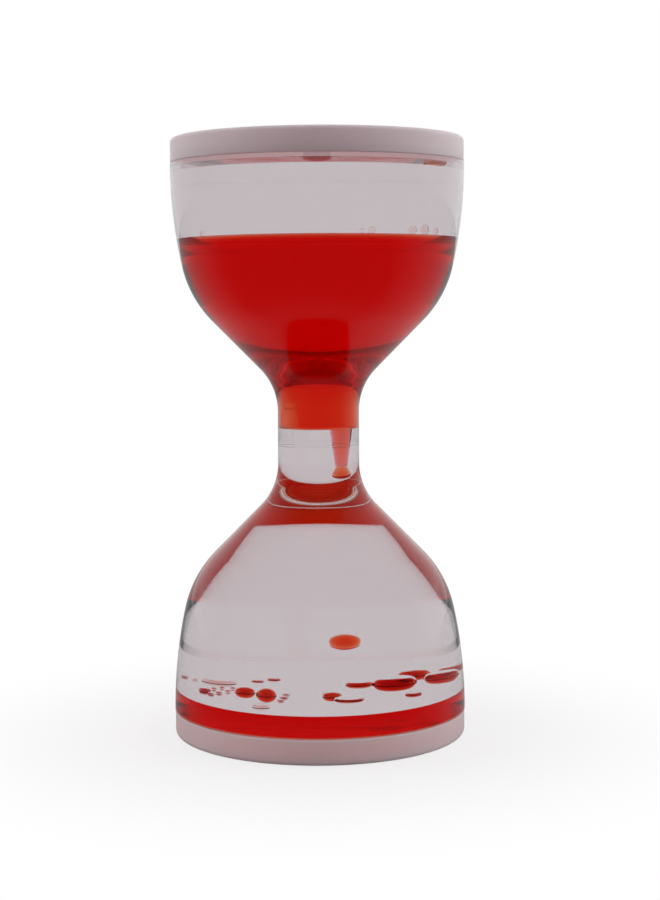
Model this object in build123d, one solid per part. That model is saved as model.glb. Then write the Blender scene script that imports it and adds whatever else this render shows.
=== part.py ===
from build123d import *
import math
import os

# A sealed liquid motion timer: two clear bulbs joined at a narrow neck, with a white cap on each end.
# A nozzle insert in the neck lets red water drip down through clear oil, while oil rises past it.
# Lengths are in millimetres and angles in degrees. The origin is the centre of the underside, +Z is up.
# Each half is drawn upwards from the neck's middle plane, and the lower half is its mirror image.

# Outside
overall_height = 130.6
bulb_diameter = 64.2
cap_height = 5.45

# Bulb: a straight neck, a fillet, a cone, a shoulder and a flank that ends upright at the mouth
neck_diameter = 17.9
neck_straight = 5.7
neck_fillet_radius = 13.3
cone_angle = 44.6
shoulder_radius = 25.0
flank_angle = 12.1
wall_thickness = 2.2

# Cap: a moulded cup with a ring rib that is glued to the closure, and radial ribs from it to the skirt.
# Its side stands in from the bulb's by the step.
cap_step = 0.1
cap_edge_radius = 1.0
cap_rim_radius = 0.3
cap_plate_thickness = 1.6
cap_skirt_thickness = 1.2
ring_rib_width = 3.0
radial_rib_length = 5.8
radial_rib_width = 1.2
radial_rib_count = 8
adhesive_thickness = 0.4

# Closure: a disc welded over the bulb's mouth. The upper one has a spigot that centres it.
closure_thickness = 1.9
spigot_height = 0.8
fit_clearance = 0.1

# Fill plug in the upper closure
fill_hole_radius = 2.0
fill_plug_head_radius = 3.4
fill_plug_head_thickness = 0.9
fill_plug_clearance = 0.02

# Nozzle insert: a disc held in a seat that is cut into both necks, with two tapered nozzles
insert_seat_depth = 0.95
insert_thickness = 3.8
nozzle_length = 4.2
nozzle_root_wall = 0.4
nozzle_tip_wall = 0.3

# The wide nozzle, which points down and lets the water through. Its turn is about Z, from the X axis,
# and the gap is between its entry and the neck's inner wall.
drip_wall_gap = 0.2
drip_turn = -28.0
drip_entry_radius = 2.15
drip_tip_radius = 1.2

# The narrow nozzle, which points up and lets the oil through
return_wall_gap = 0.7
return_turn = 154.5
return_entry_radius = 1.15
return_tip_radius = 0.8

# Liquids: each stands off its walls and its neighbours by a film, and resting drops a little more
film = 0.05
drop_seat = 0.07
upper_red_depth = 41.9
air_depth = 1.15
pool_depth = 4.55

# Drops in motion. A drop's rim is round, and its radius is a share of half the drop's thickness.
drop_rim_share = 0.8
resting_rim_share = 0.5
drop_clearance = 0.2
falling_drop_diameter = 5.3
falling_drop_thickness = 3.3
falling_drop_height = 10.0
forming_drop_radius = 1.75
forming_drop_length = 3.3
forming_drop_crown = 1.0
forming_drop_waist_share = 0.25
rising_drop_diameter = 2.1
rising_drop_thickness = 1.9

# Drops at rest, domes on the pool, as shares of the pool's radius: x, y, radius and height
right_drop_shares = [
    (0.353, 0.177, 0.106, 0.046),
    (0.550, 0.289, 0.082, 0.037),
    (0.391, 0.434, 0.065, 0.035),
    (0.184, 0.182, 0.066, 0.020),
    (0.513, 0.499, 0.050, 0.020),
    (0.529, -0.240, 0.053, 0.014),
]
left_drop_shares = [
    (-0.398, -0.113, 0.058, 0.038),
    (-0.291, -0.206, 0.058, 0.049),
    (-0.202, 0.366, 0.030, 0.010),
    (-0.281, 0.297, 0.029, 0.008),
]
middle_drop_shares = [
    (0.065, -0.240, 0.054, 0.031),
    (0.164, -0.358, 0.087, 0.012),
    (0.023, -0.156, 0.013, 0.012),
]
bubble_shares = [
    (-0.641, -0.119, 0.043, 0.022),
    (-0.562, -0.048, 0.017, 0.014),
    (-0.504, 0.001, 0.016, 0.013),
    (-0.564, -0.182, 0.022, 0.014),
    (-0.495, -0.115, 0.017, 0.014),
    (-0.629, -0.231, 0.024, 0.012),
    (-0.445, -0.002, 0.016, 0.013),
    (-0.182, -0.179, 0.022, 0.010),
    (-0.200, -0.288, 0.025, 0.010),
    (-0.225, -0.403, 0.023, 0.010),
    (-0.470, 0.221, 0.083, 0.021),
    (-0.369, -0.637, 0.059, 0.018),
    (-0.623, 0.277, 0.023, 0.010),
    (-0.586, 0.228, 0.015, 0.008),
]

# Froth on the upper red surface, as shares of that surface's radius: x, y and radius
froth_shares = [
    (0.640, -0.620, 0.032),
    (0.730, -0.575, 0.036),
    (0.810, -0.500, 0.026),
    (0.300, -0.800, 0.020),
    (0.365, -0.790, 0.026),
    (-0.780, -0.500, 0.022),
]

# Red water left on the ceiling, as shares of the ceiling's radius: x, y and radius
ceiling_drop_shares = [
    (0.000, 0.000, 0.110),
    (0.820, -0.385, 0.075),
]

# Heights above the neck's middle plane, for the upper half
half_height = overall_height / 2
mouth_height = half_height - cap_height
ceiling_height = mouth_height - spigot_height
insert_face = insert_thickness / 2
nozzle_tip = insert_face + nozzle_length
upper_red_level = insert_face + upper_red_depth
upper_oil_level = ceiling_height - air_depth
pool_level = mouth_height - pool_depth

# Radii that follow from the sizes above
bulb_radius = bulb_diameter / 2
neck_radius = neck_diameter / 2
mouth_radius = bulb_radius - wall_thickness
liquid_inset = wall_thickness + film
cap_radius = bulb_radius - cap_step
cap_inner_radius = cap_radius - cap_skirt_thickness
ring_rib_radius = cap_inner_radius - radial_rib_length
closure_radius = cap_inner_radius - fit_clearance
spigot_radius = mouth_radius - fit_clearance
pool_radius = mouth_radius - film
neck_bore_radius = neck_radius - wall_thickness
insert_seat_radius = neck_bore_radius + insert_seat_depth
insert_radius = insert_seat_radius - fit_clearance
drip_offset = neck_bore_radius - drip_wall_gap - drip_entry_radius
return_offset = neck_bore_radius - return_wall_gap - return_entry_radius
root_share = insert_thickness / (insert_thickness + nozzle_length)

# The cone's length and the flank's radius make the side reach the mouth upright at the bulb's radius
cone_lean = math.radians(cone_angle)
flank_lean = math.radians(flank_angle)
side_run = (
    bulb_radius
    - neck_radius
    - neck_fillet_radius * (1 - math.cos(cone_lean))
    - shoulder_radius * (math.cos(flank_lean) - math.cos(cone_lean))
)
side_rise = (
    mouth_height
    - neck_straight
    - neck_fillet_radius * math.sin(cone_lean)
    - shoulder_radius * (math.sin(cone_lean) - math.sin(flank_lean))
)
side_turn = math.sin(cone_lean) * math.sin(flank_lean) - math.cos(cone_lean) * (1 - math.cos(flank_lean))
cone_length = (side_run * math.sin(flank_lean) - side_rise * (1 - math.cos(flank_lean))) / side_turn
flank_radius = (side_rise * math.sin(cone_lean) - side_run * math.cos(cone_lean)) / side_turn

# The radius of the upper red surface, which lies along the flank
upper_red_radius = (
    bulb_radius
    - flank_radius
    + math.sqrt((flank_radius - liquid_inset) ** 2 - (mouth_height - upper_red_level) ** 2)
)


def side_arc(centre, radius, first, last):
    """An arc in the (radius, height) plane between two leans of the side. A negative radius is hollow."""
    leans = (first, (first + last) / 2, last)
    points = [
        (centre[0] + radius * math.cos(lean), centre[1] - radius * math.sin(lean)) for lean in leans
    ]
    return ThreePointArc(*points), points[-1]


def bulb_side(inset):
    """Edges of the bulb's side, from the middle plane to the mouth, moved inwards by inset."""
    start = (neck_radius - inset, 0)
    straight_end = (start[0], neck_straight)
    fillet = neck_fillet_radius + inset
    shoulder = shoulder_radius - inset
    flank = flank_radius - inset
    fillet_arc, cone_start = side_arc((start[0] + fillet, neck_straight), -fillet, 0, cone_lean)
    cone_end = (
        cone_start[0] + cone_length * math.sin(cone_lean),
        cone_start[1] + cone_length * math.cos(cone_lean),
    )
    shoulder_centre = (
        cone_end[0] - shoulder * math.cos(cone_lean),
        cone_end[1] + shoulder * math.sin(cone_lean),
    )
    shoulder_arc, flank_start = side_arc(shoulder_centre, shoulder, cone_lean, flank_lean)
    flank_centre = (
        flank_start[0] - flank * math.cos(flank_lean),
        flank_start[1] + flank * math.sin(flank_lean),
    )
    flank_arc, mouth = side_arc(flank_centre, flank, flank_lean, 0)
    edges = [Line(start, straight_end), fillet_arc, Line(cone_start, cone_end), shoulder_arc, flank_arc]
    return edges, start, mouth


def turned(edges):
    """A solid turned about the Z axis from a closed outline in the (radius, height) plane."""
    return revolve(Plane.XZ * make_face(Curve() + edges), Axis.Z)


def bulb_form(inset):
    """The solid inside the bulb's side, moved inwards by inset, from the middle plane to the mouth."""
    edges, start, mouth = bulb_side(inset)
    return turned(edges + [Line(mouth, (0, mouth[1])), Line((0, mouth[1]), (0, 0)), Line((0, 0), start)])


def between(form, low, high):
    """The part of a form between two heights."""
    return form & disc(bulb_diameter, low, high)


def disc(radius, low, high):
    """A round disc on the Z axis between two heights."""
    return Pos(0, 0, (low + high) / 2) * Cylinder(radius, high - low)


def upper(form):
    """A half drawn from the middle plane, put in its place in the upper half."""
    return Pos(0, 0, half_height) * form


def lower(form):
    """The mirror image of a half drawn from the middle plane, put in its place in the lower half."""
    return Pos(0, 0, half_height) * mirror(form, Plane.XY)


def drop_points(radius, thickness, grow, rim_share=drop_rim_share):
    """Points on a drop's upper side: top, crown's middle, crown's edge, rim's middle and widest point."""
    rise = thickness / 2 + grow
    rim = rim_share * thickness / 2 + grow
    reach = radius + grow - rim
    crown = (reach**2 + rise**2 - rim**2) / (2 * (rise - rim))
    lean = math.atan2(reach, crown - rise)
    crown_centre = rise - crown
    rim_lean = (lean + math.pi / 2) / 2
    return (
        (0, rise),
        (crown * math.sin(lean / 2), crown_centre + crown * math.cos(lean / 2)),
        (crown * math.sin(lean), crown_centre + crown * math.cos(lean)),
        (reach + rim * math.sin(rim_lean), rim * math.cos(rim_lean)),
        (radius + grow, 0),
    )


def under(point):
    """The point as far below zero as the given one is above it."""
    return point[0], -point[1]


def drop(radius, thickness, grow=0.0):
    """A flattened round drop about the origin, with a flat crown and a round rim, grown by grow."""
    top, crown_middle, crown_edge, _, widest = drop_points(radius, thickness, grow)
    return turned([
        ThreePointArc(top, crown_middle, crown_edge),
        ThreePointArc(crown_edge, widest, under(crown_edge)),
        ThreePointArc(under(crown_edge), under(crown_middle), under(top)),
        Line(under(top), top),
    ])


def dome(radius, height, grow=0.0):
    """A drop that rests on its flat base about the origin, grown by grow."""
    crest, crown_middle, crown_edge, rim_middle, widest = drop_points(
        radius, 2 * height, grow, resting_rim_share
    )
    edges = [
        ThreePointArc(crest, crown_middle, crown_edge),
        ThreePointArc(crown_edge, rim_middle, widest),
    ]
    if grow:
        edges.append(Line(widest, (widest[0], -grow)))
    return turned(edges + [Line((widest[0], -grow), (0, -grow)), Line((0, -grow), crest)])


def bulb():
    """One moulded bulb, with a seat in its neck for half of the insert."""
    seat = disc(insert_seat_radius, 0, insert_face)
    return bulb_form(0) - bulb_form(wall_thickness) - seat


def cap():
    """One end cap, with its ribs. Its rim meets the bulb's mouth and its plate is the outer face."""
    cup = disc(cap_radius, mouth_height, half_height)
    cup = fillet(cup.edges().filter_by(GeomType.CIRCLE).sort_by(Axis.Z)[-1], cap_edge_radius)
    cup = fillet(cup.edges().filter_by(GeomType.CIRCLE).sort_by(Axis.Z)[0], cap_rim_radius)
    plate_face = half_height - cap_plate_thickness
    hollow = disc(cap_inner_radius, mouth_height, plate_face)
    rib_foot = mouth_height + closure_thickness + adhesive_thickness
    rib_height = plate_face - rib_foot
    rib_place = Pos(ring_rib_radius + radial_rib_length / 2, 0, rib_foot + rib_height / 2)
    rib = rib_place * Box(radial_rib_length, radial_rib_width, rib_height)
    ribs = [Rot(0, 0, 360 / radial_rib_count * number) * rib for number in range(radial_rib_count)]
    return cup - hollow + rib_ring(rib_foot, plate_face) + ribs


def rib_ring(low, high):
    """A ring as wide as the cap's ring rib, between two heights."""
    half_width = ring_rib_width / 2
    return disc(ring_rib_radius + half_width, low, high) - disc(ring_rib_radius - half_width, low, high)


def adhesive():
    """The ring of adhesive between the cap's ring rib and the closure."""
    foot = mouth_height + closure_thickness
    return rib_ring(foot, foot + adhesive_thickness)


def closure():
    """The disc that closes a bulb's mouth."""
    return disc(closure_radius, mouth_height, mouth_height + closure_thickness)


def spigot():
    """The upper closure's spigot, inside the mouth."""
    return disc(spigot_radius, ceiling_height, mouth_height)


def fill_hole():
    """The hole through the upper closure that the timer is filled by."""
    return disc(fill_hole_radius, ceiling_height, mouth_height + closure_thickness)


def fill_plug():
    """The plug in the fill hole, with a head on the closure's outer face."""
    face = mouth_height + closure_thickness
    shank = disc(fill_hole_radius - fill_plug_clearance, ceiling_height, face)
    head = disc(fill_plug_head_radius, face, face + fill_plug_head_thickness)
    return shank + head


def cone(foot_radius, tip_radius, low, high):
    """A cone on the Z axis between two heights."""
    return Pos(0, 0, (low + high) / 2) * Cone(foot_radius, tip_radius, high - low)


def nozzle_body(entry_radius, tip_radius, grow=0.0):
    """The outside of a nozzle that points up on the Z axis, grown on all sides by grow."""
    root_radius = entry_radius + (tip_radius - entry_radius) * root_share + nozzle_root_wall
    return cone(root_radius + grow, tip_radius + nozzle_tip_wall + grow, insert_face, nozzle_tip + grow)


def nozzle_channel(entry_radius, tip_radius, shrink=0.0, extra=0.0):
    """What fills a nozzle's channel, from the insert's far face less extra to the nozzle's tip."""
    column = cone(entry_radius - shrink, tip_radius - shrink, -insert_face, nozzle_tip)
    if extra:
        column += disc(entry_radius - shrink, -insert_face - extra, -insert_face)
    return column


def at_return(form):
    """A form drawn about the Z axis, put on the axis of the nozzle that points up."""
    return Rot(0, 0, return_turn) * Pos(return_offset, 0, 0) * form


def at_drip(form):
    """A form drawn about the Z axis, put on the axis of the nozzle that points down."""
    return Rot(0, 0, drip_turn) * Pos(drip_offset, 0, 0) * form


def hanging(form):
    """A form drawn for a nozzle that points up, turned over to hang from the other one."""
    return at_drip(Rot(180, 0, 0) * form)


def nozzle_insert():
    """The insert in the neck, with its two nozzles and their channels."""
    body = disc(insert_radius, -insert_face, insert_face)
    body += at_return(nozzle_body(return_entry_radius, return_tip_radius))
    body += hanging(nozzle_body(drip_entry_radius, drip_tip_radius))
    body -= at_return(nozzle_channel(return_entry_radius, return_tip_radius))
    return body - hanging(nozzle_channel(drip_entry_radius, drip_tip_radius))


def rising_drop(grow=0.0):
    """The drop of oil that has just left the nozzle that points up."""
    height = nozzle_tip + drop_clearance + rising_drop_thickness / 2
    shape = drop(rising_drop_diameter / 2, rising_drop_thickness, grow)
    return at_return(Pos(0, 0, height) * shape)


def forming_drop(grow=0.0):
    """The drop of red water that hangs from the nozzle that points down, narrow at its root."""
    root = (drip_tip_radius - film + grow, film - grow)
    height = forming_drop_length - forming_drop_crown
    crest, crown_middle, crown_edge, rim_middle, widest = (
        (point[0], height + point[1])
        for point in drop_points(forming_drop_radius, 2 * forming_drop_crown, grow)
    )
    waist = (root[0] + (widest[0] - root[0]) * forming_drop_waist_share, (root[1] + height) / 2)
    bell = turned([
        Line((0, root[1]), root),
        ThreePointArc(root, waist, widest),
        ThreePointArc(widest, rim_middle, crown_edge),
        ThreePointArc(crown_edge, crown_middle, crest),
        Line(crest, (0, root[1])),
    ])
    return hanging(Pos(0, 0, nozzle_tip) * bell)


def falling_drop(grow=0.0):
    """The drop of red water on its way down to the pool."""
    height = falling_drop_height - pool_level
    shape = drop(falling_drop_diameter / 2, falling_drop_thickness, grow)
    return at_drip(Pos(0, 0, height) * shape)


def resting_drops(shares, grow=0.0):
    """Drops that lie on the pool's surface, from a table of shares."""
    drops = []
    for x_share, y_share, radius_share, height_share in shares:
        place = Pos(x_share * pool_radius, y_share * pool_radius, drop_seat - pool_level)
        drops.append(place * dome(radius_share * pool_radius, height_share * pool_radius, grow))
    return drops


def froth(grow=0.0):
    """Small bubbles that lie on the red water in the upper bulb."""
    bubbles = []
    for x_share, y_share, radius_share in froth_shares:
        radius = radius_share * upper_red_radius
        height = upper_red_level + radius + drop_seat
        place = Pos(x_share * upper_red_radius, y_share * upper_red_radius, height)
        bubbles.append(place * Sphere(radius + grow))
    return bubbles


def ceiling_drops():
    """Red water that clings to the ceiling, in the air above the oil."""
    drops = []
    for x_share, y_share, radius_share in ceiling_drop_shares:
        radius = radius_share * pool_radius
        place = Pos(x_share * pool_radius, y_share * pool_radius, ceiling_height - film)
        dome = drop(radius, 2 * (air_depth - 2 * film)) & disc(bulb_diameter, -air_depth, 0)
        drops.append(place * dome)
    return drops


def upper_red_liquid():
    """The red water in the upper bulb, with its column in the nozzle that points down."""
    water = between(bulb_form(liquid_inset), insert_face + film, upper_red_level)
    water -= at_return(nozzle_body(return_entry_radius, return_tip_radius, film))
    water -= rising_drop(film)
    return water + hanging(nozzle_channel(drip_entry_radius, drip_tip_radius, film, 2 * film))


def upper_clear_oil():
    """The clear oil above the red water in the upper bulb."""
    oil = between(bulb_form(liquid_inset), upper_red_level + film, upper_oil_level)
    for bubble in froth(film):
        oil -= bubble
    return oil


def lower_clear_oil():
    """The clear oil in the lower bulb, with its column in the nozzle that points up."""
    oil = lower(between(bulb_form(liquid_inset), insert_face + film, pool_level - film))
    oil -= upper(hanging(nozzle_body(drip_entry_radius, drip_tip_radius, film)))
    oil -= upper(forming_drop(film))
    oil -= upper(falling_drop(drop_clearance))
    for shares in (right_drop_shares, left_drop_shares, middle_drop_shares, bubble_shares):
        for shape in resting_drops(shares, film):
            oil -= upper(shape)
    return oil + upper(at_return(nozzle_channel(return_entry_radius, return_tip_radius, film, 2 * film)))


def red_pool():
    """The red water that has gathered in the lower bulb."""
    return lower(between(bulb_form(liquid_inset), pool_level, mouth_height - film))


def group(forms):
    """Several separate solids of one node, drawn from the middle plane and put in their place."""
    return Compound(children=[solid for form in forms for solid in upper(form).solids()])


nodes = {
    "upper_cap": upper(cap()),
    "lower_cap": lower(cap()),
    "upper_cap_adhesive": upper(adhesive()),
    "lower_cap_adhesive": lower(adhesive()),
    "upper_closure": upper(closure() + spigot() - fill_hole()),
    "lower_closure": lower(closure()),
    "fill_plug": upper(fill_plug()),
    "upper_bulb": upper(bulb()),
    "lower_bulb": lower(bulb()),
    "nozzle_insert": upper(nozzle_insert()),
    "upper_red_liquid": upper(upper_red_liquid()),
    "upper_clear_oil": upper(upper_clear_oil()),
    "lower_clear_oil": lower_clear_oil(),
    "lower_red_pool": red_pool(),
    "forming_red_drop": upper(forming_drop()),
    "falling_red_drop": upper(falling_drop()),
    "rising_oil_drop": upper(rising_drop()),
    "resting_drops_right": group(resting_drops(right_drop_shares)),
    "resting_drops_left": group(resting_drops(left_drop_shares)),
    "resting_drops_middle": group(resting_drops(middle_drop_shares)),
    "pool_bubbles": group(resting_drops(bubble_shares)),
    "surface_froth": group(froth()),
    "ceiling_drops": group(ceiling_drops()),
}

os.makedirs("parts", exist_ok=True)
for name, shape in nodes.items():
    export_step(shape, f"parts/{name}.step")
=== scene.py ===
import math
import bmesh
import bpy
from mathutils import Euler, Matrix, Vector


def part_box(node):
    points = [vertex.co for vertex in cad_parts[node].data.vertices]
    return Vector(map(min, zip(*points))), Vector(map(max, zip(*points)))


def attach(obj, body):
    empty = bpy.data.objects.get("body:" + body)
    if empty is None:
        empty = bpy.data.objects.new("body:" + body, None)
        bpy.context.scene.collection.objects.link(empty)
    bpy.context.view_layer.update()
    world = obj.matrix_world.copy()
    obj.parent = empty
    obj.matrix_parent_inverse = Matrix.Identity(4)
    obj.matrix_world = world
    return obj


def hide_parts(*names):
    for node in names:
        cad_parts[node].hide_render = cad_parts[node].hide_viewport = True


# The looks of a liquid motion timer: two clear bulbs, red water, clear oil and white caps.
# Lengths are in metres. Places and sizes come from the frame where a node has them.
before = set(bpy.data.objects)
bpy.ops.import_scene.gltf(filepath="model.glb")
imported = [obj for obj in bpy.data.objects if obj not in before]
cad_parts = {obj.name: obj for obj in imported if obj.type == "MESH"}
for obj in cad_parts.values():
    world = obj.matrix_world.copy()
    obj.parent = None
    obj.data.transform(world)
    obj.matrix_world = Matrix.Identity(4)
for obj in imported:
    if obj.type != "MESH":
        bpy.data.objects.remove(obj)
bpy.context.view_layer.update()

MM = 0.001

# Refractive indices of air, clear plastic, oil and water
AIR, PLASTIC, OIL, WATER = 1.0, 1.49, 1.47, 1.335

# The bulb's side, as the model draws it: a straight neck, a fillet, a cone, a shoulder and a flank.
# The leans are from upright, at the cone and where the flank starts.
NECK_RADIUS = 8.95 * MM
NECK_STRAIGHT = 5.7 * MM
NECK_FILLET = 13.3 * MM
CONE_LEAN = math.radians(44.6)
SHOULDER = 25.0 * MM
FLANK_LEAN = math.radians(12.1)
WALL = 2.2 * MM

# The gap between a liquid and what it touches, and the play between fitted pieces
FILM = 0.05 * MM
FIT = 0.1 * MM

# The insert's disc reaches this far from the middle plane. Its wide nozzle, the drip, points down, and its
# narrow one, the return, points up. A nozzle's offset and turn place its axis. Its entry and tip are radii.
INSERT_FACE = 1.9 * MM
NOZZLE_ROOT_WALL = 0.4 * MM
NOZZLE_TIP_WALL = 0.3 * MM
DRIP = {"offset": 4.4 * MM, "turn": math.radians(-28.0), "entry": 2.15 * MM, "tip": 1.2 * MM}
RETURN = {"offset": 4.9 * MM, "turn": math.radians(154.5), "entry": 1.15 * MM, "tip": 0.8 * MM}

# The drop that hangs from the drip: the radius of its bulge, its whole length, and the height of its bulge
FORMING_RADIUS = 1.75 * MM
FORMING_LENGTH = 3.3 * MM
FORMING_CROWN = 1.0 * MM

# The gap between the falling drop and the hollow for it in the oil
FALLING_GAP = 4 * FILM

# Drops that lie on the pool, as shares of the pool's radius: x, y, radius and height
RESTING_DROPS = {
    "right": [
        (0.353, 0.177, 0.106, 0.046),
        (0.550, 0.289, 0.082, 0.037),
        (0.391, 0.434, 0.065, 0.035),
        (0.184, 0.182, 0.066, 0.020),
        (0.513, 0.499, 0.050, 0.020),
        (0.529, -0.240, 0.053, 0.014),
    ],
    "left": [
        (-0.398, -0.113, 0.058, 0.038),
        (-0.291, -0.206, 0.058, 0.049),
        (-0.202, 0.366, 0.030, 0.010),
        (-0.281, 0.297, 0.029, 0.008),
    ],
    "middle": [
        (0.065, -0.240, 0.054, 0.031),
        (0.164, -0.358, 0.087, 0.012),
        (0.023, -0.156, 0.013, 0.012),
    ],
}
BUBBLES = [
    (-0.641, -0.119, 0.043, 0.022),
    (-0.562, -0.048, 0.017, 0.014),
    (-0.504, 0.001, 0.016, 0.013),
    (-0.564, -0.182, 0.022, 0.014),
    (-0.495, -0.115, 0.017, 0.014),
    (-0.629, -0.231, 0.024, 0.012),
    (-0.445, -0.002, 0.016, 0.013),
    (-0.182, -0.179, 0.022, 0.010),
    (-0.200, -0.288, 0.025, 0.010),
    (-0.225, -0.403, 0.023, 0.010),
    (-0.470, 0.221, 0.083, 0.021),
    (-0.369, -0.637, 0.059, 0.018),
    (-0.623, 0.277, 0.023, 0.010),
    (-0.586, 0.228, 0.015, 0.008),
]

# Bubbles with a larger share than this are clear, the others have a red film
LARGE_BUBBLE_SHARE = 0.05

# Heights above the pool's level of the oil's foot and of the resting drops, and the gap round those drops
OIL_FOOT = 0.02 * MM
DROP_SEAT = 0.07 * MM
DROP_FILM = 0.03 * MM

# Froth on the upper red surface, as shares of that surface's radius: x, y and radius, and its height above it
FROTH = [
    (0.640, -0.620, 0.032),
    (0.730, -0.575, 0.036),
    (0.810, -0.500, 0.026),
    (0.300, -0.800, 0.020),
    (0.365, -0.790, 0.026),
    (-0.780, -0.500, 0.022),
]
FROTH_SEAT = 0.14 * MM

# Drops that cling to the ceiling, as shares of the pool's radius: x, y and radius
CEILING_DROPS = [(0.0, 0.0, 0.110), (0.820, -0.385, 0.075)]

# The round rims of flattened drops, as shares of half the thickness
RIM_SHARE = 0.8
RESTING_RIM_SHARE = 0.85

# Fineness of the turned surfaces and of their outlines
TURN_STEPS = 256
SMALL_TURN_STEPS = 64
ARC_STEP = 0.6 * MM
ARC_LEAST_STEPS = 4
ROUND_STEPS = 14
BALL_STEPS = 20
FORMING_STEPS = 12
CEILING_STEPS = 16
SHARP_ANGLE = math.radians(30.0)

# Distances that count as none: from an axis, between vertices that are one, and from a flat face
ON_AXIS = MM * 1e-6
MERGE = MM * 1e-4
ON_LEVEL = MM * 1e-3


def low(node):
    """A node's lowest corner."""
    return Vector(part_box(node)[0])


def high(node):
    """A node's highest corner."""
    return Vector(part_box(node)[1])


def half_width(node):
    """Half of a node's width along X."""
    return (high(node).x - low(node).x) / 2


# Heights and radii that the frame gives. MOUTH, CEILING, CLOSURE_TOP and NOZZLE_TIP are above the middle.
TOP = high("upper_cap").z
MIDDLE = TOP / 2
BULB_RADIUS = half_width("upper_bulb")
MOUTH = high("upper_bulb").z - MIDDLE
CEILING = low("upper_closure").z - MIDDLE
RED_LEVEL = high("upper_red_liquid").z
OIL_LEVEL = high("upper_clear_oil").z
POOL_LEVEL = high("lower_red_pool").z
POOL_FLOOR = MIDDLE - MOUTH
CLOSURE_RADIUS = half_width("upper_closure")
CLOSURE_TOP = high("upper_closure").z - MIDDLE
INSERT_RADIUS = half_width("nozzle_insert")
NOZZLE_TIP = high("nozzle_insert").z - MIDDLE
MOUTH_RADIUS = BULB_RADIUS - WALL
POOL_RADIUS = MOUTH_RADIUS - FILM

# The cone's length and the flank's radius make the side reach the mouth upright at the bulb's radius
SIDE_RUN = (
    BULB_RADIUS
    - NECK_RADIUS
    - NECK_FILLET * (1 - math.cos(CONE_LEAN))
    - SHOULDER * (math.cos(FLANK_LEAN) - math.cos(CONE_LEAN))
)
SIDE_RISE = (
    MOUTH
    - NECK_STRAIGHT
    - NECK_FILLET * math.sin(CONE_LEAN)
    - SHOULDER * (math.sin(CONE_LEAN) - math.sin(FLANK_LEAN))
)
SIDE_TURN = math.sin(CONE_LEAN) * math.sin(FLANK_LEAN) - math.cos(CONE_LEAN) * (1 - math.cos(FLANK_LEAN))
CONE = (SIDE_RUN * math.sin(FLANK_LEAN) - SIDE_RISE * (1 - math.cos(FLANK_LEAN))) / SIDE_TURN
FLANK = (SIDE_RISE * math.sin(CONE_LEAN) - SIDE_RUN * math.cos(CONE_LEAN)) / SIDE_TURN


# Outlines in the (radius, height) plane

def arc(centre, radius, first, last):
    """Points of an arc of the side between two leans, without its first. A negative radius is hollow."""
    count = max(ARC_LEAST_STEPS, math.ceil(abs(radius * (last - first)) / ARC_STEP))
    leans = [first + (last - first) * step / count for step in range(1, count + 1)]
    return [(centre[0] + radius * math.cos(lean), centre[1] - radius * math.sin(lean)) for lean in leans]


def bulb_side(inset):
    """Points of the bulb's side moved inwards by inset, from the middle plane up to the mouth."""
    points = [(NECK_RADIUS - inset, 0.0), (NECK_RADIUS - inset, NECK_STRAIGHT)]
    fillet, shoulder, flank = NECK_FILLET + inset, SHOULDER - inset, FLANK - inset
    points += arc((points[0][0] + fillet, NECK_STRAIGHT), -fillet, 0.0, CONE_LEAN)
    start = points[-1]
    steps = math.ceil(CONE / ARC_STEP)
    for step in range(1, steps + 1):
        along = CONE * step / steps
        points.append((start[0] + along * math.sin(CONE_LEAN), start[1] + along * math.cos(CONE_LEAN)))
    end = points[-1]
    centre = (end[0] - shoulder * math.cos(CONE_LEAN), end[1] + shoulder * math.sin(CONE_LEAN))
    points += arc(centre, shoulder, CONE_LEAN, FLANK_LEAN)
    end = points[-1]
    centre = (end[0] - flank * math.cos(FLANK_LEAN), end[1] + flank * math.sin(FLANK_LEAN))
    return points + arc(centre, flank, FLANK_LEAN, 0.0)


def cut_side(inset, first, last):
    """The part of the side between two heights above the middle plane, with a point at each of them."""
    points = bulb_side(inset)

    def radius_at(height):
        """The side's radius at a height."""
        for (r0, h0), (r1, h1) in zip(points, points[1:]):
            if h0 <= height <= h1 and h1 > h0:
                return r0 + (r1 - r0) * (height - h0) / (h1 - h0)
        return points[-1][0]

    inner = [point for point in points if first + FILM < point[1] < last - FILM]
    return [(radius_at(first), first)] + inner + [(radius_at(last), last)]


def lifted(points):
    """Points of the upper half, from heights above the middle plane to heights above the floor."""
    return [(radius, MIDDLE + height) for radius, height in points]


def lowered(points):
    """The same points mirrored into the lower half, in the opposite order."""
    return [(radius, MIDDLE - height) for radius, height in reversed(points)]


def round_outline(radius, thickness, grow, height, rim_share=RIM_SHARE):
    """A flattened drop from its lowest to its highest point: shallow crowns and a round rim."""
    rise = thickness / 2 + grow
    rim = rim_share * thickness / 2 + grow
    reach = radius + grow - rim
    crown = (reach**2 + rise**2 - rim**2) / (2 * (rise - rim))
    lean = math.atan2(reach, crown - rise)
    upper = []
    for step in range(ROUND_STEPS + 1):
        turn = math.pi / 2 - (math.pi / 2 - lean) * step / ROUND_STEPS
        upper.append((reach + rim * math.sin(turn), rim * math.cos(turn)))
    for step in range(1, ROUND_STEPS + 1):
        turn = lean * (1 - step / ROUND_STEPS)
        upper.append((crown * math.sin(turn), rise - crown + crown * math.cos(turn)))
    upper[-1] = (0.0, rise)
    below = [(r, -h) for r, h in reversed(upper[1:])]
    return [(r, height + h) for r, h in below + upper]


def ball_outline(radius, grow, height):
    """A ball from its lowest to its highest point."""
    reach = radius + grow
    turns = [math.pi * step / BALL_STEPS for step in range(1, BALL_STEPS)]
    side = [(reach * math.sin(turn), height - reach * math.cos(turn)) for turn in turns]
    return [(0.0, height - reach)] + side + [(0.0, height + reach)]


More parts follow.
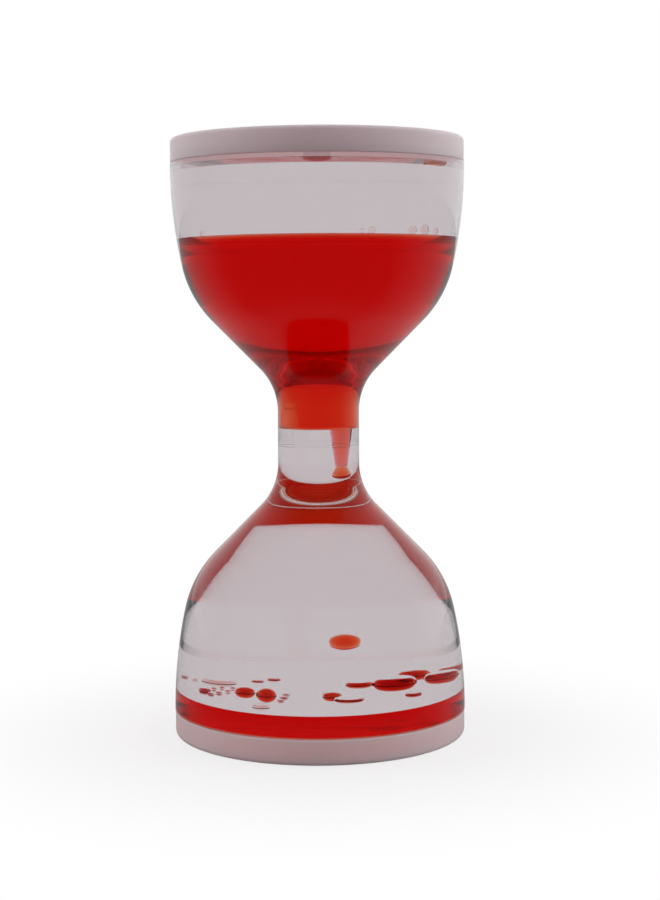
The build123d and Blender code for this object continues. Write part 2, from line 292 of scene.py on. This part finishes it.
def moving_outline(node, grow):
    """The outline of the drop that a node stands for, as wide and as thick as the node."""
    box_low, box_high = low(node), high(node)
    thickness = box_high.z - box_low.z
    return round_outline(half_width(node), thickness, grow, (box_low.z + box_high.z) / 2)


def forming_outline(grow):
    """The hanging drop's outline, from its lowest point up to its root at the nozzle's tip."""
    height = MIDDLE - NOZZLE_TIP - (FORMING_LENGTH - FORMING_CROWN)
    bulge = round_outline(FORMING_RADIUS, 2 * FORMING_CROWN, grow, height)
    below = [point for point in bulge if point[1] <= height + FILM / 10]
    root = (DRIP["tip"] - FILM + grow, MIDDLE - NOZZLE_TIP - FILM + grow)
    side = []
    for step in range(1, FORMING_STEPS + 1):
        share = step / FORMING_STEPS
        ease = share * share * (3 - 2 * share)
        radius = below[-1][0] + (root[0] - below[-1][0]) * ease
        side.append((radius, below[-1][1] + (root[1] - below[-1][1]) * share))
    return below + side


def resting(drop, grow):
    """The outline and the centre of one drop or bubble on the pool: a dome with a flat base."""
    x, y, radius, height = (share * POOL_RADIUS for share in drop)
    base = POOL_LEVEL + DROP_SEAT
    whole = round_outline(radius, 2 * height, grow, base, RESTING_RIM_SHARE)
    dome = [point for point in whole if point[1] > base - FILM / 10]
    return [(0.0, base - grow), (radius + grow, base - grow)] + dome[0 if grow else 1:], (x, y)


def froth_ball(bubble, grow):
    """The outline and the centre of one bubble on the upper red surface."""
    surface_radius = cut_side(WALL + FILM, INSERT_FACE, RED_LEVEL - MIDDLE)[-1][0]
    x, y, radius = (share * surface_radius for share in bubble)
    return ball_outline(radius, grow, RED_LEVEL + FROTH_SEAT + radius), (x, y)


def ceiling_drop(drop):
    """The outline and the centre of one drop that hangs from the ceiling, in the air above the oil."""
    x, y, radius = (share * POOL_RADIUS for share in drop)
    depth = (OIL_LEVEL - MIDDLE - CEILING) + 2 * FILM
    top = MIDDLE + CEILING - FILM
    turns = [math.pi / 2 * step / CEILING_STEPS for step in range(CEILING_STEPS + 1)]
    side = [(radius * math.sin(turn), top + depth * math.cos(turn)) for turn in turns]
    return side + [(0.0, top)], (x, y)


def nozzle_radii(nozzle, grow):
    """The outside radii of a nozzle at its root and its tip."""
    share = 2 * INSERT_FACE / (INSERT_FACE + NOZZLE_TIP)
    root = nozzle["entry"] + (nozzle["tip"] - nozzle["entry"]) * share + NOZZLE_ROOT_WALL
    return root + grow, nozzle["tip"] + NOZZLE_TIP_WALL + grow


def centre_of(nozzle):
    """Where a nozzle's axis stands."""
    return nozzle["offset"] * math.cos(nozzle["turn"]), nozzle["offset"] * math.sin(nozzle["turn"])


class Form:
    """Faces of one piece, gathered before they become an object."""

    def __init__(self):
        self.mesh = bmesh.new()

    def turn(self, points, centre=(0.0, 0.0), slots=0, steps=TURN_STEPS, loop=False):
        """Turns an outline about an upright line through centre. Anticlockwise outlines face outwards.
        slots is one material slot, or a list with the slot of each stretch. loop joins the outline's ends."""
        rings = []
        for radius, height in points:
            if radius < ON_AXIS:
                rings.append([self.mesh.verts.new((centre[0], centre[1], height))])
                continue
            ring = []
            for step in range(steps):
                turn = 2 * math.pi * step / steps
                place = (centre[0] + radius * math.cos(turn), centre[1] + radius * math.sin(turn), height)
                ring.append(self.mesh.verts.new(place))
            rings.append(ring)
        pairs = list(zip(rings, rings[1:] + (rings[:1] if loop else [])))
        for number, (first, second) in enumerate(pairs):
            slot = slots[number] if isinstance(slots, list) else slots
            for step in range(steps):
                after = (step + 1) % steps
                corners = [first[step % len(first)], first[after % len(first)]]
                corners += [second[after % len(second)], second[step % len(second)]]
                corners = list(dict.fromkeys(corners))
                if len(corners) > 2:
                    self.mesh.faces.new(corners).material_index = slot

    def small(self, points, centre, slot=0):
        """Turns the outline of a drop or a nozzle."""
        self.turn(points, centre, slot, SMALL_TURN_STEPS)

    def hollow(self, points, centre, slot=0):
        """The same, with faces that point inwards, as the wall of a hollow."""
        self.small(list(reversed(points)), centre, slot)

    def close(self, height, upward):
        """Fills the flat face at a height, inside its outer edge and round the holes in it."""
        bmesh.ops.remove_doubles(self.mesh, verts=self.mesh.verts, dist=MERGE)
        edges = [
            edge for edge in self.mesh.edges
            if edge.is_boundary and all(abs(vert.co.z - height) < ON_LEVEL for vert in edge.verts)
        ]
        made = bmesh.ops.triangle_fill(self.mesh, edges=edges, use_beauty=True)
        for face in made["geom"]:
            if isinstance(face, bmesh.types.BMFace):
                face.normal_update()
                if (face.normal.z > 0) != upward:
                    face.normal_flip()
                face.material_index = 0

    def finish(self, name, materials, node, body):
        """Makes the object, which replaces a node, rides on a body and takes its finish from a slot."""
        mesh = bpy.data.meshes.new(name)
        bmesh.ops.remove_doubles(self.mesh, verts=self.mesh.verts, dist=MERGE)
        self.mesh.to_mesh(mesh)
        self.mesh.free()
        for material in materials:
            mesh.materials.append(material)
        mesh.shade_smooth()
        mesh.set_sharp_from_angle(angle=SHARP_ANGLE)
        piece = bpy.data.objects.new(name, mesh)
        bpy.context.collection.objects.link(piece)
        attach(piece, body)
        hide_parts(node)
        return piece


# Materials

WHITE = (1.0, 1.0, 1.0, 1.0)

# The bulbs' grey: what two crossings of the outer face let through, and what one lets through to a lamp
PLASTIC_TINT = (0.56, 0.505, 0.525, 1.0)
LAMP_TINT = (0.9, 0.9, 0.9, 1.0)

# The dye in the red water, by its colour and by its density per metre. Small drops hold more of it.
RED_DYE = (0.99, 0.31, 0.0, 1.0)
RED_DENSITY = 420.0
DROP_DENSITY = 800.0
RESTING_DYE = (0.93, 0.16, 0.0, 1.0)
RESTING_DENSITY = 1500.0
BUBBLE_DYE = (0.85, 0.25, 0.25, 1.0)
BUBBLE_DENSITY = 1800.0
FILM_DYE = (0.98, 0.70, 0.66, 1.0)
FILM_DENSITY = 450.0

# Indices of small drops and bubbles. They look softer than clean surfaces make them, as films blur them.
DROP_WATER, FILMED_OIL = 1.38, 1.40

# The column of water in the nozzle is pinker than the dye makes so thin a layer, so its faces have a tint
COLUMN_TINT = (1.0, 0.70, 0.76, 1.0)

# The renderer gives up light after many bounces, which would show black. At the bounce where the lower bulb's
# shoulders mirror the pool, the pool's faces glow with this painted red as a painted reflection, and after the
# last bounce as painted light in place of the black.
SHOULDER_BOUNCE, BOUNCE_TOLERANCE = 7.0, 0.5
LAST_BOUNCE = 8.5
PAINTED_POOL_RED = (0.38, 0.02, 0.015, 1.0)

# Moulded parts: their index, how far light spreads in white plastic, and the unevenness of gloss and grain
MOULDED_INDEX = 1.46
SPREAD_LENGTH = 3.0 * MM
GLOSS_UNEVENNESS = 0.06
GRAIN_DETAIL = 3.0

# A painted glow on the inside of the upper cap's rim stands in for light that comes through the white plastic:
# its colour, and the reach from the closure's rim within which it shows
PAINTED_RIM_GLOW = (1.0, 0.72, 0.74, 1.0)
PAINTED_RIM_GLOW_REACH = 3 * FIT


class Shading:
    """The nodes of a material or a world, which end in an output node."""

    def __init__(self, owner, output):
        owner.use_nodes = True
        self.nodes, self.links = owner.node_tree.nodes, owner.node_tree.links
        self.nodes.clear()
        self.output = self.add(output)

    def add(self, kind, inputs=None, **settings):
        """Adds a node. Each of its inputs takes a value or the output of another node."""
        node = self.nodes.new("ShaderNode" + kind)
        for name, value in settings.items():
            setattr(node, name, value)
        for name, value in (inputs or {}).items():
            if isinstance(value, bpy.types.NodeSocket):
                self.links.new(value, node.inputs[name])
            else:
                node.inputs[name].default_value = value
        return node

    def maths(self, operation, *values):
        """The result of an operation on values or outputs."""
        return self.add("Math", dict(enumerate(values)), operation=operation).outputs["Value"]

    def mix(self, share, first, second):
        """A mix of two shaders. The share is that of the second."""
        return self.add("MixShader", {"Fac": share, 1: first, 2: second}).outputs["Shader"]

    def place(self):
        """The place in the object's own axes."""
        return self.add("TexCoord").outputs["Object"]

    def height(self):
        """The height above the floor."""
        return self.add("SeparateXYZ", {"Vector": self.place()}).outputs["Z"]

    def ray(self, *kinds):
        """1 for the named kinds of rays and 0 for the others."""
        path = self.add("LightPath")
        value = path.outputs[kinds[0]]
        for kind in kinds[1:]:
            value = self.maths("MAXIMUM", value, path.outputs[kind])
        return value

    def lamps_pass(self, shader, tint=WHITE):
        """A shader that lets the light of lamps through unbent, so that it reaches what is inside."""
        passed = self.add("BsdfTransparent", {"Color": tint}).outputs["BSDF"]
        return self.mix(self.ray("Is Shadow Ray"), shader, passed)

    def glass(self, index, colour=WHITE):
        """A clear and smooth face."""
        return self.add("BsdfGlass", {"Color": colour, "Roughness": 0.0, "IOR": index}).outputs["BSDF"]

    def end(self, shader, dye=None, density=0.0):
        """Joins a shader to the output, and a dye if there is one."""
        self.links.new(shader, self.output.inputs["Surface"])
        if dye:
            volume = self.add("VolumeAbsorption", {"Color": dye, "Density": density})
            self.links.new(volume.outputs["Volume"], self.output.inputs["Volume"])


def new_material(name):
    """An empty material and its shading."""
    material = bpy.data.materials.new(name)
    return material, Shading(material, "OutputMaterial")


def outer_plastic():
    """The bulbs' outer face: clear plastic with a faint grey tint."""
    material, shading = new_material("clear_plastic_outside")
    shader = shading.add("BsdfPrincipled", {
        "Base Color": PLASTIC_TINT,
        "Transmission Weight": 1.0,
        "Roughness": 0.0,
        "IOR": PLASTIC,
    })
    shading.end(shading.lamps_pass(shader.outputs["BSDF"], LAMP_TINT))
    return material


def unbending(name):
    """Faces of a clear thing that lie against another one, where only the other's faces bend light."""
    material, shading = new_material(name)
    shading.end(shading.add("BsdfTransparent").outputs["BSDF"])
    return material


def clear(name, index, dye=None, density=0.0):
    """A clear medium that meets its surroundings with a relative index and may hold a dye."""
    material, shading = new_material(name)
    shading.end(shading.lamps_pass(shading.glass(index)), dye, density)
    return material


def upper_water():
    """The upper red water. The faces of its column in the nozzle are tinted."""
    material, shading = new_material("red_water")
    in_nozzle = shading.maths("LESS_THAN", shading.height(), MIDDLE + INSERT_FACE)
    tint = shading.add("Mix", {"Factor": in_nozzle, "A": WHITE, "B": COLUMN_TINT}, data_type="RGBA")
    water = shading.glass(WATER / PLASTIC, tint.outputs["Result"])
    shading.end(shading.lamps_pass(water), RED_DYE, RED_DENSITY)
    return material


def pool_water():
    """The pool's red water. It bends light at the wall, and at its floor as it would against air: the flat
    closure below turns light no further, so the closure itself is unbending."""
    material, shading = new_material("red_water_of_pool")
    above_floor = shading.maths("GREATER_THAN", shading.height(), POOL_FLOOR + 2 * FILM)
    water = shading.mix(above_floor, shading.glass(WATER / AIR), shading.glass(WATER / PLASTIC))
    # Deep rays see the pool glow with a painted red: a painted reflection in the shoulders, and painted light
    # after the last bounce
    bounce = shading.add("LightPath").outputs["Ray Depth"]
    mirrored = shading.maths("COMPARE", bounce, SHOULDER_BOUNCE, BOUNCE_TOLERANCE)
    painted_red_share = shading.maths("MAXIMUM", mirrored, shading.maths("GREATER_THAN", bounce, LAST_BOUNCE))
    red = shading.add("Emission", {"Color": PAINTED_POOL_RED}).outputs["Emission"]
    shading.end(shading.mix(painted_red_share, shading.lamps_pass(water), red), RED_DYE, RED_DENSITY)
    material.cycles.emission_sampling = "NONE"
    return material


def moulded(name, colour, roughness, grain, depth, translucence=0.0, clearness=0.0, painted_glow=0.0):
    """A moulded part with a fine grain in its surface and its gloss. Clearness lets things behind it show.
    The last setting is the strength of a painted glow on the inside of a cap's rim, which stands in for light
    that the cap lets through."""
    material, shading = new_material(name)
    place = shading.place()
    noise = shading.add("TexNoise", {"Vector": place, "Scale": grain, "Detail": GRAIN_DETAIL}).outputs["Fac"]
    gloss = shading.add("MapRange", {
        "Value": noise,
        "To Min": roughness - GLOSS_UNEVENNESS,
        "To Max": roughness + GLOSS_UNEVENNESS,
    })
    bump = shading.add("Bump", {"Height": noise, "Distance": depth})
    inputs = {
        "Base Color": colour,
        "IOR": MOULDED_INDEX,
        "Roughness": gloss.outputs["Result"],
        "Normal": bump.outputs["Normal"],
        "Subsurface Weight": translucence,
        "Subsurface Radius": (1.0, 1.0, 1.0),
        "Subsurface Scale": SPREAD_LENGTH,
    }
    # A painted glow: emission on the cap's inside, in a ring by the closure's rim
    if painted_glow:
        flat = shading.add("VectorMath", {0: place, 1: (1.0, 1.0, 0.0)}, operation="MULTIPLY")
        radius = shading.add("VectorMath", {0: flat.outputs["Vector"]}, operation="LENGTH").outputs["Value"]
        inside = shading.maths("COMPARE", radius, CLOSURE_RADIUS + FIT, PAINTED_RIM_GLOW_REACH)
        inputs["Emission Color"] = PAINTED_RIM_GLOW
        inputs["Emission Strength"] = shading.maths("MULTIPLY", inside, painted_glow)
        material.cycles.emission_sampling = "NONE"
    shader = shading.add("BsdfPrincipled", inputs).outputs["BSDF"]
    if clearness:
        shader = shading.mix(clearness, shader, shading.add("BsdfTransparent").outputs["BSDF"])
    shading.end(shader)
    return material


CAP_FINISH = {"colour": (0.78, 0.74, 0.76, 1.0), "roughness": 0.38, "grain": 900.0, "depth": 0.01 * MM}
PLUG_FINISH = {"colour": (0.90, 0.88, 0.88, 1.0), "roughness": 0.45, "grain": 900.0, "depth": 0.01 * MM}
GLUE_FINISH = {"colour": (0.70, 0.68, 0.62, 1.0), "roughness": 0.3, "grain": 400.0, "depth": 0.02 * MM}
CLEAR_GLUE_FINISH = {"colour": (0.85, 0.80, 0.78, 1.0), "roughness": 0.3, "grain": 400.0, "depth": 0.02 * MM}

plastic_outside = outer_plastic()
plastic_inside = unbending("clear_plastic_inside")
oil_to_water = unbending("clear_oil_to_water")
plastic_to_air = clear("clear_plastic_to_air", PLASTIC / AIR)
red_water = upper_water()
red_water_in_air = clear("red_water_in_air", WATER / AIR, RED_DYE, RED_DENSITY)
red_drop = clear("red_water_in_oil", DROP_WATER / OIL, RED_DYE, DROP_DENSITY)
resting_drop = clear("red_water_on_pool", DROP_WATER / OIL, RESTING_DYE, RESTING_DENSITY)
clear_oil = clear("clear_oil", OIL / PLASTIC)
oil_to_air = clear("clear_oil_to_air", OIL / AIR)
filmed_oil = clear("clear_oil_in_film", FILMED_OIL / OIL, FILM_DYE, FILM_DENSITY)
bubble_film = clear("red_film_round_oil", DROP_WATER / OIL, BUBBLE_DYE, BUBBLE_DENSITY)
cap_plastic = moulded("cap_plastic", **CAP_FINISH, translucence=0.6)
cap_plastic_with_painted_glow = moulded("cap_plastic_with_painted_glow", **CAP_FINISH, translucence=0.6, painted_glow=0.4)
plug_plastic = moulded("plug_plastic", **PLUG_FINISH, clearness=0.9)
adhesive = moulded("adhesive", **GLUE_FINISH)
clear_adhesive = moulded("clear_adhesive", **CLEAR_GLUE_FINISH, clearness=0.85)


# Clear pieces

def bulb(name, place, flip):
    """One bulb: its outer face, its mouth, its inner face and the seat of the insert. The outer face bends
    light, and so does the upper bulb's inner face where air lies against it. The others are unbending."""
    outside, inside, to_air = 0, 1, 2
    outer = bulb_side(0.0)
    oil_top = OIL_LEVEL - MIDDLE
    low_part = cut_side(WALL, INSERT_FACE, oil_top)
    air_part = cut_side(WALL, oil_top, CEILING)
    high_part = cut_side(WALL, CEILING, MOUTH)
    inner = low_part + air_part[1:] + high_part[1:]
    seat = INSERT_RADIUS + FIT
    points = outer + list(reversed(inner)) + [(seat, INSERT_FACE), (seat, 0.0)]
    slots = [outside] * (len(outer) - 1) + [inside] * (len(points) - len(outer) + 1)
    if flip:
        points, slots = lowered(points), list(reversed(slots[:-1])) + slots[-1:]
    else:
        points, first_air = lifted(points), len(outer) + len(high_part) - 1
        for number in range(first_air, first_air + len(air_part) - 1):
            slots[number] = to_air
    form = Form()
    form.turn(points, slots=slots, loop=True)
    materials = [plastic_outside, plastic_inside, plastic_to_air]
    return form.finish(name, materials, place, "timer")


def closure(name, place, flip):
    """The disc that closes a bulb. The upper one bends light where air lies against it: at the ceiling, the
    rim and the top. The lower one is unbending, as the pool's floor stands for its two faces."""
    to_air, inside = 0, 1
    spigot = MOUTH_RADIUS - FIT
    rim = [(CLOSURE_RADIUS, MOUTH), (CLOSURE_RADIUS, CLOSURE_TOP), (0.0, CLOSURE_TOP)]
    if flip:
        points, slots = lowered([(0.0, MOUTH)] + rim), inside
    else:
        points = lifted([(0.0, CEILING), (spigot, CEILING), (spigot, MOUTH)] + rim)
        slots = [to_air, inside, inside, to_air, to_air]
    form = Form()
    form.turn(points, slots=slots)
    return form.finish(name, [plastic_to_air, plastic_inside], place, "timer")


def upper_red():
    """The red water in the upper bulb, with its hollow for one nozzle and its column in the other."""
    foot = INSERT_FACE + FILM
    side = cut_side(WALL + FILM, foot, RED_LEVEL - MIDDLE)
    form = Form()
    form.turn(lifted(side + [(0.0, RED_LEVEL - MIDDLE)]))
    root, tip = nozzle_radii(RETURN, FILM)
    form.small(lifted([(0.0, NOZZLE_TIP + FILM), (tip, NOZZLE_TIP + FILM), (root, foot)]), centre_of(RETURN))
    column = [(0.0, -NOZZLE_TIP), (DRIP["tip"] - FILM, -NOZZLE_TIP)]
    column += [(DRIP["entry"] - FILM, INSERT_FACE), (DRIP["entry"] - FILM, foot)]
    form.small(lifted(column), centre_of(DRIP))
    form.close(MIDDLE + foot, False)
    form.hollow(moving_outline("rising_oil_drop", FILM), centre_of(RETURN))
    return form.finish("red_water_upper", [red_water], "upper_red_liquid", "timer")


def lower_oil():
    """The clear oil in the lower bulb, with hollows for the drops and the nozzle, and its column. Towards the
    pool, the resting drops and the falling drop it is unbending, as the water's faces bend light there."""
    to_plastic, to_water = 0, 1
    foot = INSERT_FACE + FILM
    side = cut_side(WALL + FILM, foot, MIDDLE - POOL_LEVEL - OIL_FOOT)
    outline = [(0.0, POOL_LEVEL + OIL_FOOT)] + lowered(side)
    form = Form()
    form.turn(outline, slots=[to_water] + [to_plastic] * (len(outline) - 2))
    root, tip = nozzle_radii(DRIP, FILM)
    tip_height = MIDDLE - NOZZLE_TIP - FILM
    hanging = [point for point in forming_outline(FILM) if point[1] < tip_height]
    hanging += [(hanging[-1][0], tip_height), (tip, tip_height), (root, MIDDLE - foot)]
    form.hollow(hanging, centre_of(DRIP))
    column = [(RETURN["entry"] - FILM, MIDDLE - foot), (RETURN["entry"] - FILM, MIDDLE - INSERT_FACE)]
    column += [(RETURN["tip"] - FILM, MIDDLE + NOZZLE_TIP), (0.0, MIDDLE + NOZZLE_TIP)]
    form.small(column, centre_of(RETURN))
    form.close(MIDDLE - foot, True)
    form.hollow(moving_outline("falling_red_drop", FALLING_GAP), centre_of(DRIP), to_water)
    for drops in RESTING_DROPS.values():
        for drop in drops:
            form.hollow(*resting(drop, DROP_FILM), to_water)
    return form.finish("clear_oil_lower", [clear_oil, oil_to_water], "lower_clear_oil", "timer")


def upper_oil():
    """The clear oil in the upper bulb, with hollows for the froth. It bends light towards the wall and the
    air above it, and is unbending towards the red water and the froth."""
    to_plastic, to_air, to_water = 0, 1, 2
    side = cut_side(WALL + FILM, RED_LEVEL + FILM - MIDDLE, OIL_LEVEL - MIDDLE)
    points = lifted([(0.0, side[0][1])] + side + [(0.0, side[-1][1])])
    form = Form()
    form.turn(points, slots=[to_water] + [to_plastic] * (len(points) - 3) + [to_air])
    for bubble in FROTH:
        form.hollow(*froth_ball(bubble, FILM), to_water)
    materials = [clear_oil, oil_to_air, oil_to_water]
    return form.finish("clear_oil_upper", materials, "upper_clear_oil", "timer")


def red_pool():
    """The red water at the bottom."""
    side = cut_side(WALL + FILM, MIDDLE - POOL_LEVEL, MOUTH - FILM)
    form = Form()
    form.turn([(0.0, POOL_FLOOR + FILM)] + lowered(side) + [(0.0, POOL_LEVEL)])
    return form.finish("red_water_pool", [pool_water()], "lower_red_pool", "timer")


def small_forms(name, outlines, materials, node, body, second=()):
    """Separate drops or bubbles in one piece. Those whose numbers are in second take the second material."""
    form = Form()
    for number, (outline, centre) in enumerate(outlines):
        form.small(outline, centre, 1 if number in second else 0)
    return form.finish(name, materials, node, body)


bulb("bulb_upper", "upper_bulb", False)
bulb("bulb_lower", "lower_bulb", True)
closure("closure_upper", "upper_closure", False)
closure("closure_lower", "lower_closure", True)
upper_red()
upper_oil()
lower_oil()
red_pool()
small_forms(
    "red_drop_falling", [(moving_outline("falling_red_drop", 0.0), centre_of(DRIP))],
    [red_drop], "falling_red_drop", "falling_drop",
)
small_forms(
    "oil_drop_rising", [(moving_outline("rising_oil_drop", 0.0), centre_of(RETURN))],
    [clear_oil], "rising_oil_drop", "rising_drop",
)
small_forms(
    "red_drop_forming", [(forming_outline(0.0) + [(0.0, MIDDLE - NOZZLE_TIP - FILM)], centre_of(DRIP))],
    [red_drop], "forming_red_drop", "timer",
)
for side_name, drops in RESTING_DROPS.items():
    small_forms(
        "red_drops_" + side_name, [resting(drop, 0.0) for drop in drops],
        [resting_drop], "resting_drops_" + side_name, "timer",
    )
small_forms(
    "bubbles_on_pool", [resting(bubble, 0.0) for bubble in BUBBLES],
    [bubble_film, filmed_oil], "pool_bubbles", "timer",
    second=[number for number, bubble in enumerate(BUBBLES) if bubble[2] > LARGE_BUBBLE_SHARE],
)
small_forms(
    "froth_on_red", [froth_ball(bubble, 0.0) for bubble in FROTH],
    [filmed_oil], "surface_froth", "timer",
)
small_forms(
    "red_water_on_ceiling", [ceiling_drop(drop) for drop in CEILING_DROPS],
    [red_water_in_air], "ceiling_drops", "timer",
)

# Nodes that keep the frame's shape and get a material
for node, material in (
    ("upper_cap", cap_plastic_with_painted_glow),
    ("lower_cap", cap_plastic),
    ("upper_cap_adhesive", clear_adhesive),
    ("lower_cap_adhesive", adhesive),
    ("fill_plug", plug_plastic),
    ("nozzle_insert", plastic_inside),
):
    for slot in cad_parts[node].material_slots:
        slot.material = material


# Surroundings

# The floor: its size, its grey, and its whiteness to the eye, which grows from the least share to 1 between
# two distances from the object's middle, so that the shadow shows close to the object
FLOOR_RADIUS = 4.0
FLOOR_EDGES = 96
FLOOR_GREY = (0.8, 0.8, 0.8, 1.0)
SHADOW_NEAR, SHADOW_FAR = 0.02, 0.10
LEAST_WHITE = 0.75

# Mirrored surroundings get brighter in this direction, a little to the right of straight behind. For the floor
# and the studio: how far a ray leans that way where it starts, the least brightness and the most.
MIRRORED_DIRECTION = (0.15, 1.0, 0.0)
MIRRORED_FLOOR = (-0.3, 0.05, 0.45)
MIRRORED_STUDIO = (-0.05, 0.05, 0.9)

# The soft fill on solid parts
FILL_COLOUR = (1.0, 0.64, 0.70, 1.0)
FILL_LEVEL = 0.19

# Square lamps that point at the object's middle: place, width in metres and power in watts
LAMPS = {
    "left_lamp": ((-0.5, 0.05, 0.36), 0.4, 1.1),
    "right_lamp": ((0.5, 0.05, 0.36), 0.4, 1.4),
    "top_lamp": ((0.0, 0.1, 0.7), 0.5, 1.5),
}

# Lamps in the caps' hollows: their colour and brightness. The lower one lies this deep in its closure.
UPPER_GLOW, UPPER_GLOW_LEVEL = (1.0, 0.75, 0.75), 0.5
LOWER_GLOW, LOWER_GLOW_LEVEL = (0.8, 0.10, 0.04), 0.8
LIGHT_DEPTH = 0.5 * MM

# The photograph's view: the picture's size and the lens in pixels, the sensor's width in millimetres, and the
# camera's place and leans
IMAGE_WIDTH, IMAGE_HEIGHT = 660, 900
FOCAL_PIXELS = 1758.03
CENTRE_X, CENTRE_Y = 318.33, 403.19
SENSOR_WIDTH = 36.0
CAMERA_PLACE = (0.0, -0.38679, 0.09571)
CAMERA_TIP, CAMERA_ROLL = 0.0595, -0.0059


def facing_back(shading, direction, first, least, most):
    """How bright a mirrored direction is: dim in front, bright behind, and a little brighter to the right."""
    lean = shading.add("VectorMath", {0: direction, 1: MIRRORED_DIRECTION}, operation="DOT_PRODUCT")
    ramp = shading.add("MapRange", {
        "Value": lean.outputs["Value"],
        "From Min": first,
        "From Max": 1.0,
        "To Min": least,
        "To Max": most,
    })
    return ramp.outputs["Result"]


def floor():
    """A pale floor that is white to the eye and keeps a soft shadow close to the object."""
    bpy.ops.mesh.primitive_circle_add(
        vertices=FLOOR_EDGES, radius=FLOOR_RADIUS, fill_type="NGON", location=(0, 0, 0)
    )
    piece = bpy.context.object
    piece.name = "floor"
    material, shading = new_material("floor")
    place = shading.place()
    outward = shading.add("VectorMath", {0: place}, operation="NORMALIZE").outputs["Vector"]
    level = shading.add("Mix", {
        "Factor": shading.ray("Is Reflection Ray"),
        "A": 1.0,
        "B": facing_back(shading, outward, *MIRRORED_FLOOR),
    })
    glow = shading.add("Emission", {"Strength": level.outputs["Result"]}).outputs["Emission"]
    distance = shading.add("VectorMath", {0: place}, operation="LENGTH").outputs["Value"]
    fade = shading.add("MapRange", {
        "Value": distance,
        "From Min": SHADOW_NEAR,
        "From Max": SHADOW_FAR,
        "To Min": LEAST_WHITE,
        "To Max": 1.0,
    }, interpolation_type="SMOOTHSTEP")
    seen = shading.ray("Is Camera Ray", "Is Glossy Ray")
    white = shading.maths("MULTIPLY", fade.outputs["Result"], seen)
    white = shading.maths("MAXIMUM", white, shading.ray("Is Transmission Ray"))
    plain = shading.add("BsdfDiffuse", {"Color": FLOOR_GREY}).outputs["BSDF"]
    shading.end(shading.mix(white, plain, glow))
    piece.data.materials.append(material)


def studio():
    """White to the eye and through clear parts, dim in front if mirrored, and a soft fill on solid parts."""
    world = bpy.data.worlds.new("studio")
    bpy.context.scene.world = world
    shading = Shading(world, "OutputWorld")
    direction = shading.add("TexCoord").outputs["Generated"]
    behind = facing_back(shading, direction, *MIRRORED_STUDIO)
    fill = shading.add("Background", {"Color": FILL_COLOUR, "Strength": FILL_LEVEL}).outputs["Background"]
    mirrored = shading.add("Background", {"Color": WHITE, "Strength": behind}).outputs["Background"]
    white = shading.add("Background", {"Color": WHITE}).outputs["Background"]
    around = shading.mix(shading.ray("Is Glossy Ray"), fill, mirrored)
    shading.end(shading.mix(shading.ray("Is Camera Ray", "Is Transmission Ray"), around, white))


def area_lamp(name, shape, place):
    """A lamp that shines on things, but isn't seen in the clear parts."""
    data = bpy.data.lights.new(name, "AREA")
    data.shape = shape
    piece = bpy.data.objects.new(name, data)
    piece.location = place
    piece.visible_glossy = False
    piece.visible_transmission = False
    bpy.context.collection.objects.link(piece)
    return data, piece


def lamp(name, place, width, power):
    """A soft square lamp that points at the object's middle."""
    data, piece = area_lamp(name, "RECTANGLE", place)
    data.size = data.size_y = width
    data.energy = power
    piece.rotation_euler = (Vector((0.0, 0.0, MIDDLE)) - Vector(place)).to_track_quat("-Z", "Y").to_euler()


def cap_light(name, height, upward, colour, level):
    """The light that white plastic and liquids let into the hollow of a cap."""
    data, piece = area_lamp(name, "DISK", (0.0, 0.0, height))
    data.size = 2 * CLOSURE_RADIUS
    data.color = colour
    data.energy = level * math.pi * math.pi * CLOSURE_RADIUS**2
    piece.rotation_euler = (math.pi if upward else 0.0, 0.0, 0.0)
    piece.visible_camera = False


def camera():
    """The photograph's view: a long lens a little above the middle, tipped down a little."""
    data = bpy.data.cameras.new("camera")
    data.sensor_width = SENSOR_WIDTH
    data.lens = FOCAL_PIXELS / IMAGE_HEIGHT * SENSOR_WIDTH
    data.shift_x = (IMAGE_WIDTH / 2 - CENTRE_X) / IMAGE_HEIGHT
    data.shift_y = -(IMAGE_HEIGHT / 2 - CENTRE_Y) / IMAGE_HEIGHT
    piece = bpy.data.objects.new("camera", data)
    piece.location = CAMERA_PLACE
    aim = Euler((math.pi / 2 - CAMERA_TIP, 0.0, 0.0)).to_matrix() @ Matrix.Rotation(CAMERA_ROLL, 3, "Z")
    piece.rotation_euler = aim.to_euler()
    bpy.context.collection.objects.link(piece)
    bpy.context.scene.camera = piece


floor()
studio()
for lamp_name, (lamp_place, lamp_width, lamp_power) in LAMPS.items():
    lamp(lamp_name, lamp_place, lamp_width, lamp_power)
cap_light("upper_cap_light", MIDDLE + CLOSURE_TOP + FIT, True, UPPER_GLOW, UPPER_GLOW_LEVEL)
cap_light("lower_cap_light", MIDDLE - MOUTH - LIGHT_DEPTH, False, LOWER_GLOW, LOWER_GLOW_LEVEL)
camera()
bpy.context.scene.view_settings.view_transform = "Standard"
